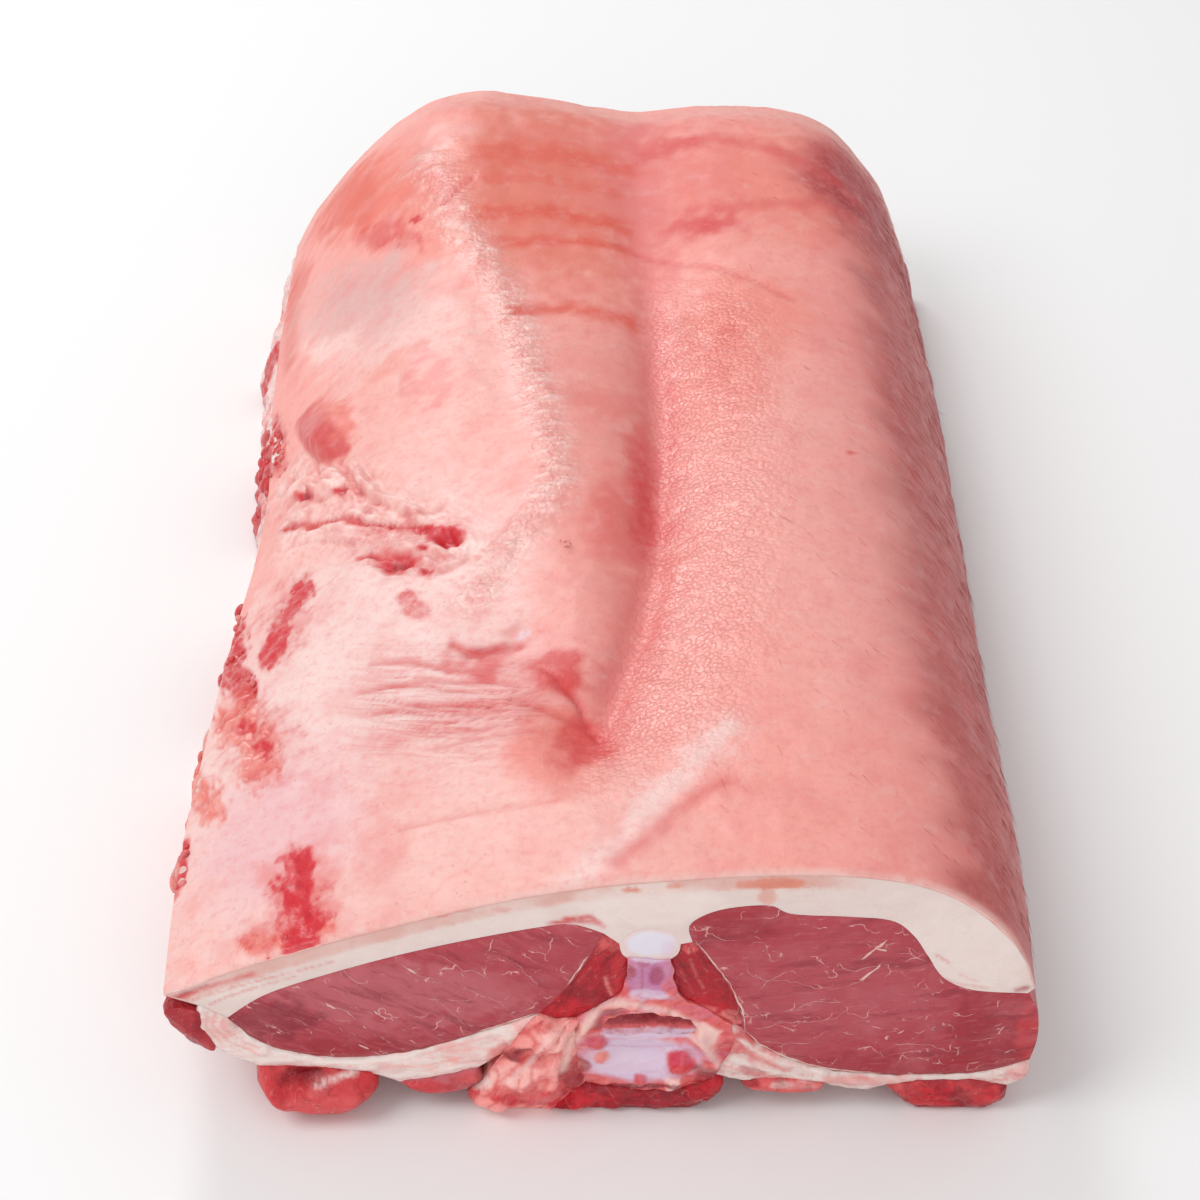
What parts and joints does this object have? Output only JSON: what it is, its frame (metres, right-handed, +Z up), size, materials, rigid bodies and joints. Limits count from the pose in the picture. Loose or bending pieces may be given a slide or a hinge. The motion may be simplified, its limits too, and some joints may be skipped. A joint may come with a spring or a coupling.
{
  "type": "bone-in skin-on pork loin",
  "caption": "Raw pork loin on the bone: the loin muscles either side of the backbone under one mantle of back fat and skin, cut across so that every layer shows.",
  "frame": {"origin": "middle of the footprint, on the surface that the loin lies on", "axes": "+Y along the backbone from the shown cut face to the far end, +X across to the thicker-fatted side, +Z up to the skin"},
  "size_m": [0.306, 0.524, 0.1137],
  "materials": {
    "skin_and_fat": "moist pink pig skin over cream fat",
    "loin_meat": "moist raw lean, finely marbled",
    "dark_meat": "moist dark raw lean",
    "cartilage": "smooth bluish-white cartilage",
    "bone": "sawn bone, lilac and pink",
    "lining": "moist white fat and membrane",
    "red_meat": "moist bright red lean",
    "trimmings": "moist trimmings of fat and lean"
  },
  "bodies": {
    "root": {"back_fat_and_skin": "skin_and_fat", "left_loin_eye": "loin_meat", "right_loin_eye": "loin_meat", "left_multifidus": "dark_meat", "right_multifidus": "dark_meat", "spine_cartilage": "cartilage", "backbone": "bone", "canal_tissue": "dark_meat", "left_lining": "lining", "right_lining": "lining", "left_lobe": "red_meat", "left_strip": "red_meat", "right_strip": "red_meat", "right_inner_strip": "red_meat", "left_trim": "trimmings", "spine_trim": "dark_meat", "left_flank_meat": "red_meat"}
  },
  "joints": []
}
